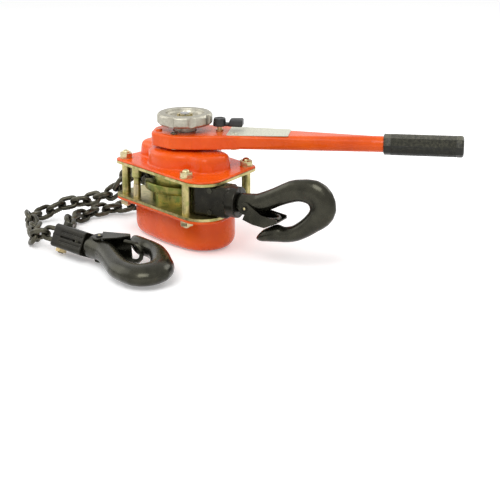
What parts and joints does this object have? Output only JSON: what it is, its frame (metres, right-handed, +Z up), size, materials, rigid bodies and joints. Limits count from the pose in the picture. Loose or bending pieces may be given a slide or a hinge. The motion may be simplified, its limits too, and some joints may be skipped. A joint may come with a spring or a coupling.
{
  "type": "lever chain hoist",
  "caption": "Hand lever hoist with load chain, latched swivel hooks, gear cover, load brake cover, hand wheel and selector, lying on its gear cover.",
  "frame": {"origin": "on the drive shaft's axis, in the gear cover's resting face", "axes": "+Z up along the drive shaft towards the hand wheel, +X along the body towards the top hook, +Y to the side that the slack chain leaves"},
  "size_m": [0.5264, 0.5046, 0.1931],
  "materials": {
    "zinc_plated_plate": "yellow zinc plating, satin",
    "zinc_plated_fastener": "pale yellow zinc plating",
    "orange_paint": "orange gloss enamel",
    "cast_aluminium": "cast, lightly polished",
    "rubber_grip": "fine pebbled rubber",
    "bare_plate": "satin, blank",
    "black_plastic": "moulded",
    "black_hook": "black oxide, semi-gloss",
    "black_chain": "black oxide chain steel",
    "gear_steel": "machined and hardened",
    "spring_steel": "spring wire",
    "friction_lining": "resin bonded lining",
    "brass": "turned"
  },
  "bodies": {
    "frame": {"gear_side_plate": "zinc_plated_plate", "brake_side_plate": "zinc_plated_plate", "stays": "zinc_plated_plate", "stay_nuts": "zinc_plated_fastener", "gear_cover": "orange_paint", "brake_cover": "orange_paint", "chain_guide": "zinc_plated_plate", "roller_pins": "zinc_plated_fastener", "chain_stripper": "zinc_plated_plate", "top_pin": "gear_steel", "sheave_bearings": "gear_steel", "gear_bushes": "brass", "pawl_pins": "zinc_plated_fastener", "pawl_springs": "spring_steel", "chain_on_sheave": "black_chain", "load_chain": "black_chain", "slack_chain": "black_chain"},
    "sheave": {"load_sheave": "gear_steel", "load_gear": "gear_steel", "load_gear_ring": "spring_steel"},
    "second_front": {"second_gear_front": "gear_steel"},
    "second_rear": {"second_gear_rear": "gear_steel"},
    "drive": {"drive_shaft": "gear_steel", "disc_hub": "gear_steel", "change_gear": "gear_steel", "hand_wheel": "cast_aluminium", "wheel_nut": "zinc_plated_fastener"},
    "ratchet": {"ratchet_disc": "gear_steel", "friction_discs": "friction_lining"},
    "pawl_front": {"brake_pawl_front": "gear_steel"},
    "pawl_rear": {"brake_pawl_rear": "gear_steel"},
    "roller_left": {"guide_roller_left": "zinc_plated_plate"},
    "roller_right": {"guide_roller_right": "zinc_plated_plate"},
    "lever": {"lever_body": "orange_paint", "lever_cover": "orange_paint", "lever_screws": "zinc_plated_fastener", "grip": "rubber_grip", "name_plate": "bare_plate", "selector_plunger": "gear_steel", "selector_spring": "spring_steel"},
    "selector": {"selector_knob": "black_plastic", "selector_shaft": "brass", "change_pawl": "gear_steel"},
    "top_swivel_yoke": {"top_yoke_left": "black_hook", "top_yoke_right": "black_hook", "top_yoke_rivets": "black_hook"},
    "top_hook_set": {"top_hook": "black_hook", "top_latch_rivet": "zinc_plated_fastener", "top_latch_spring": "spring_steel"},
    "top_latch_set": {"top_latch": "black_hook", "top_latch_rod": "black_hook"},
    "bottom_swivel_yoke": {"bottom_yoke_upper": "black_hook", "bottom_yoke_lower": "black_hook", "bottom_bolt": "black_hook", "bottom_nut": "brass"},
    "bottom_hook_set": {"bottom_hook": "black_hook", "bottom_latch_rivet": "zinc_plated_fastener", "bottom_latch_spring": "spring_steel"},
    "bottom_latch_set": {"bottom_latch": "black_hook", "bottom_latch_rod": "black_hook"}
  },
  "joints": [
    {"name": "sheave_spin", "type": "hinge", "parent": "frame", "child": "sheave", "pos_m": [0, 0, 0.087], "axis": [0, 0, 1], "continuous": true, "deforming": ["chain_on_sheave"]},
    {"name": "second_front_spin", "type": "hinge", "parent": "frame", "child": "second_front", "pos_m": [0.044, 0, 0.03], "axis": [0, 0, 1], "continuous": true},
    {"name": "second_rear_spin", "type": "hinge", "parent": "frame", "child": "second_rear", "pos_m": [-0.044, 0, 0.03], "axis": [0, 0, 1], "continuous": true},
    {"name": "drive_spin", "type": "hinge", "parent": "frame", "child": "drive", "pos_m": [0, 0, 0.13], "axis": [0, 0, 1], "continuous": true},
    {"name": "ratchet_spin", "type": "hinge", "parent": "drive", "child": "ratchet", "pos_m": [0, 0, 0.13], "axis": [0, 0, 1], "continuous": true},
    {"name": "pawl_front_swing", "type": "hinge", "parent": "frame", "child": "pawl_front", "pos_m": [0.059, 0.012, 0.128], "axis": [0, 0, 1], "range_deg": [0, 8], "stiffness_Nm_per_rad": 0.05, "springref_deg": -5.73},
    {"name": "pawl_rear_swing", "type": "hinge", "parent": "frame", "child": "pawl_rear", "pos_m": [-0.059, -0.012, 0.128], "axis": [0, 0, 1], "range_deg": [0, 8], "stiffness_Nm_per_rad": 0.05, "springref_deg": -5.73},
    {"name": "roller_left_spin", "type": "hinge", "parent": "frame", "child": "roller_left", "pos_m": [-0.045, 0.057, 0.1], "axis": [0, 0, 1], "continuous": true},
    {"name": "roller_right_spin", "type": "hinge", "parent": "frame", "child": "roller_right", "pos_m": [-0.045, -0.057, 0.1], "axis": [0, 0, 1], "continuous": true},
    {"name": "lever_swing", "type": "hinge", "parent": "frame", "child": "lever", "pos_m": [0, 0, 0.156], "axis": [0, 0, 1], "continuous": true},
    {"name": "selector_turn", "type": "hinge", "parent": "lever", "child": "selector", "pos_m": [0.03803, 0.03546, 0.166], "axis": [0, 0, 1], "range_deg": [-20, 20]},
    {"name": "top_yoke_swing", "type": "hinge", "parent": "frame", "child": "top_swivel_yoke", "pos_m": [0.0865, -0.03347, 0.087], "axis": [0, 0, 1], "range_deg": [-58, 30]},
    {"name": "top_hook_swivel", "type": "hinge", "parent": "top_swivel_yoke", "child": "top_hook_set", "pos_m": [0.14159, -0.00894, 0.087], "axis": [0.9135, 0.4067, 0], "continuous": true},
    {"name": "top_latch_open", "type": "hinge", "parent": "top_hook_set", "child": "top_latch_set", "pos_m": [0.15575, -0.00264, 0.084], "axis": [0.4067, -0.9135, 0], "range_deg": [0, 18], "stiffness_Nm_per_rad": 0.3, "springref_deg": -14.32},
    {"name": "bottom_yoke_swing", "type": "hinge", "parent": "frame", "child": "bottom_swivel_yoke", "pos_m": [-0.0445, -0.18554, 0.02475], "axis": [0.0407, -0.4105, -0.911], "range_deg": [-4, 16]},
    {"name": "bottom_hook_swivel", "type": "hinge", "parent": "bottom_swivel_yoke", "child": "bottom_hook_set", "pos_m": [0.01017, -0.17733, 0.0235], "axis": [0.9887, 0.1485, -0.0227], "continuous": true},
    {"name": "bottom_latch_open", "type": "hinge", "parent": "bottom_hook_set", "child": "bottom_latch_set", "pos_m": [0.02685, -0.17145, 0.02346], "axis": [-0.0379, 0.1, -0.9943], "range_deg": [0, 18], "stiffness_Nm_per_rad": 0.3, "springref_deg": -14.32}
  ],
  "couplings": [
    {"joint": "second_front_spin", "follows": "sheave_spin", "ratio": -2.5556},
    {"joint": "second_rear_spin", "follows": "sheave_spin", "ratio": -2.5556},
    {"joint": "drive_spin", "follows": "sheave_spin", "ratio": 8.6889}
  ]
}
